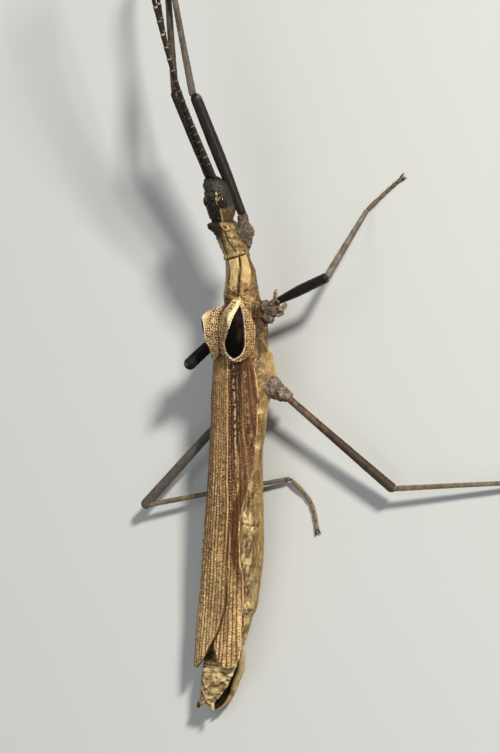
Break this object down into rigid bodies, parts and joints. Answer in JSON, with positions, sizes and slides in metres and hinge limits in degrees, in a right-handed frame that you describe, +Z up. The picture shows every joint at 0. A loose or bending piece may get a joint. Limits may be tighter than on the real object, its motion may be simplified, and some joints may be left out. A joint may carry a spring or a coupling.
{
  "type": "stick insect",
  "caption": "Still, life-size winged stick insect with a bark-brown body, humped fore wings, long folded hind wings and slender legs, standing on a floor.",
  "frame": {"origin": "on the floor, under the middle of the whole outline seen from above, legs and antennae included", "axes": "+Z up from the floor; the head points along -Y and the tail along +Y, so the insect's right side is towards -X"},
  "size_m": [0.0676, 0.1051, 0.0248],
  "materials": {
    "skin_tan": "matt, finely grained",
    "skin_cream": "matt, striped with brown",
    "skin_grey": "satin, granular",
    "wing": "satin, netted with veins",
    "tegmen": "satin, pale raised net over dark cells",
    "limb_dark": "satin",
    "limb_tan": "satin, speckled",
    "antenna": "satin with pale rings",
    "eye": "high gloss"
  },
  "bodies": {
    "root": {"abdomen_2": "skin_tan", "abdomen_3": "skin_tan", "abdomen_4": "skin_tan", "abdomen_5": "skin_tan", "abdomen_6": "skin_tan", "abdomen_7": "skin_tan", "abdomen_tip": "skin_cream", "antenna_left_1": "antenna", "antenna_left_2": "antenna", "antenna_left_3": "antenna", "antenna_right_1": "antenna", "antenna_right_2": "antenna", "antenna_right_3": "antenna", "cercus_left": "skin_cream", "cercus_right": "skin_cream", "eye_left": "eye", "eye_right": "eye", "fore_left_coxa": "limb_dark", "fore_left_femur": "limb_dark", "fore_left_foot": "limb_dark", "fore_left_tibia": "limb_dark", "fore_right_coxa": "limb_dark", "fore_right_femur": "limb_dark", "fore_right_foot": "limb_dark", "fore_right_tibia": "limb_dark", "head": "skin_grey", "hind_left_coxa": "limb_tan", "hind_left_femur": "limb_tan", "hind_left_foot": "limb_tan", "hind_left_tibia": "limb_tan", "hind_right_coxa": "limb_tan", "hind_right_femur": "limb_tan", "hind_right_foot": "limb_tan", "hind_right_tibia": "limb_tan", "mesothorax": "skin_cream", "metathorax": "skin_tan", "mid_left_coxa": "limb_dark", "mid_left_femur": "limb_dark", "mid_left_foot": "limb_tan", "mid_left_tibia": "limb_tan", "mid_right_coxa": "limb_dark", "mid_right_femur": "limb_dark", "mid_right_foot": "limb_tan", "mid_right_tibia": "limb_tan", "operculum": "skin_tan", "prothorax": "skin_grey", "tegmen_left": "tegmen", "tegmen_right": "tegmen", "wing_left": "wing", "wing_right": "wing"}
  },
  "joints": []
}
